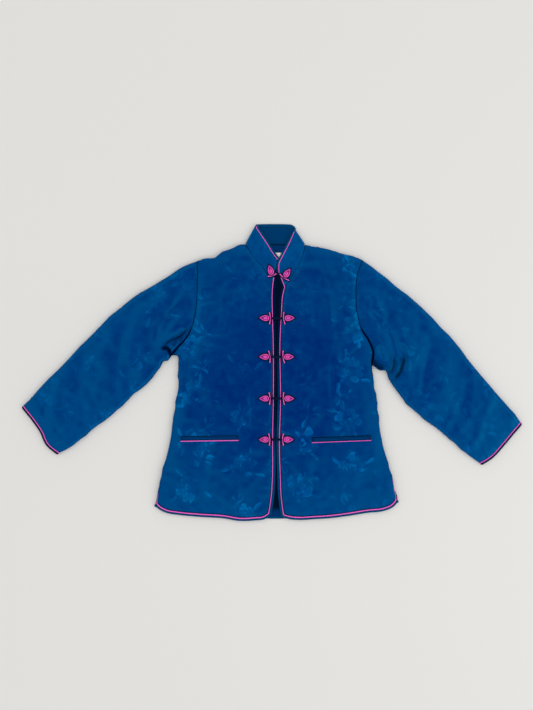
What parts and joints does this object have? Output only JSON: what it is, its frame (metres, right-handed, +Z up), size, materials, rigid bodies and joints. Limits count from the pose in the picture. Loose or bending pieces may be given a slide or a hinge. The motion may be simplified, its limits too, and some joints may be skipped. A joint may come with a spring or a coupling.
{
  "type": "padded silk jacket laid flat",
  "caption": "Blue silk damask jacket with light padding, stand collar, frog fastenings, welt pockets and pink piping, lying flat with its front up.",
  "frame": {"origin": "on the floor, on the underside of the back, below the middle of the jacket", "axes": "+X towards the wearer's left sleeve, +Y towards the collar, +Z up out of the front"},
  "size_m": [1.2556, 0.7437, 0.0192],
  "materials": {
    "silk": "blue silk damask with a woven sheen",
    "binding": "dark teal satin binding",
    "piping": "pink satin cord",
    "frog": "coiled pink satin cord with a navy edge",
    "knot": "knotted navy cord",
    "label": "bare cream tape"
  },
  "bodies": {
    "root": {"back": "silk", "front_right": "silk", "front_left": "silk", "sleeve_right": "silk", "sleeve_left": "silk", "collar": "silk", "binding_back": "binding", "binding_collar": "binding", "binding_front_right": "binding", "binding_front_left": "binding", "binding_cuff_right": "binding", "binding_cuff_left": "binding", "welt_right": "binding", "welt_left": "binding", "piping_front_right": "piping", "piping_front_left": "piping", "piping_collar_right": "piping", "piping_collar_left": "piping", "piping_cuff_right": "piping", "piping_cuff_left": "piping", "piping_pocket_right": "piping", "piping_pocket_left": "piping", "leaf_1_right": "frog", "leaf_1_left": "frog", "leaf_2_right": "frog", "leaf_2_left": "frog", "leaf_3_right": "frog", "leaf_3_left": "frog", "leaf_4_right": "frog", "leaf_4_left": "frog", "leaf_5_right": "frog", "leaf_5_left": "frog", "bar_1_right": "frog", "bar_1_left": "frog", "bar_2_right": "frog", "bar_2_left": "frog", "bar_3_right": "frog", "bar_3_left": "frog", "bar_4_right": "frog", "bar_4_left": "frog", "bar_5_right": "frog", "bar_5_left": "frog", "knot_1": "knot", "knot_2": "knot", "knot_3": "knot", "knot_4": "knot", "knot_5": "knot", "label": "label"}
  },
  "joints": []
}
